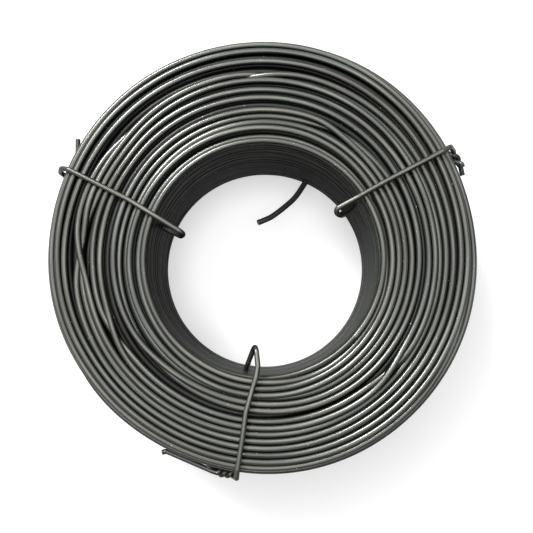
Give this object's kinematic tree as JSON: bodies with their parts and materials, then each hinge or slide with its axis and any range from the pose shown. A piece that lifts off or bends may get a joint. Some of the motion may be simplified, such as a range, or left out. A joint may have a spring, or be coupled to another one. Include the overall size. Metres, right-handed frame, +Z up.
{
  "type": "coil of tie wire",
  "caption": "Low round coil of dark annealed steel tie wire with an open bore and a loose inner end, held by twisted wire ties looped round its section.",
  "frame": {"origin": "on the coil's axis, at the underside of the ties, which is the level that the coil lies on", "axes": "+Z up along the coil's axis; +X and +Y across the coil, with the wire's loose inner end pointing from +Y towards the axis"},
  "size_m": [0.1058, 0.108, 0.0404],
  "materials": {
    "coil_wire": "black annealed steel wire, bare, with a thin dark oxide and a dull sheen",
    "tie": "annealed steel wire, bare, a little brighter than the coil"
  },
  "bodies": {
    "root": {"wire_coil": "coil_wire", "tie_right": "tie", "tie_left": "tie", "tie_front": "tie"}
  },
  "joints": []
}
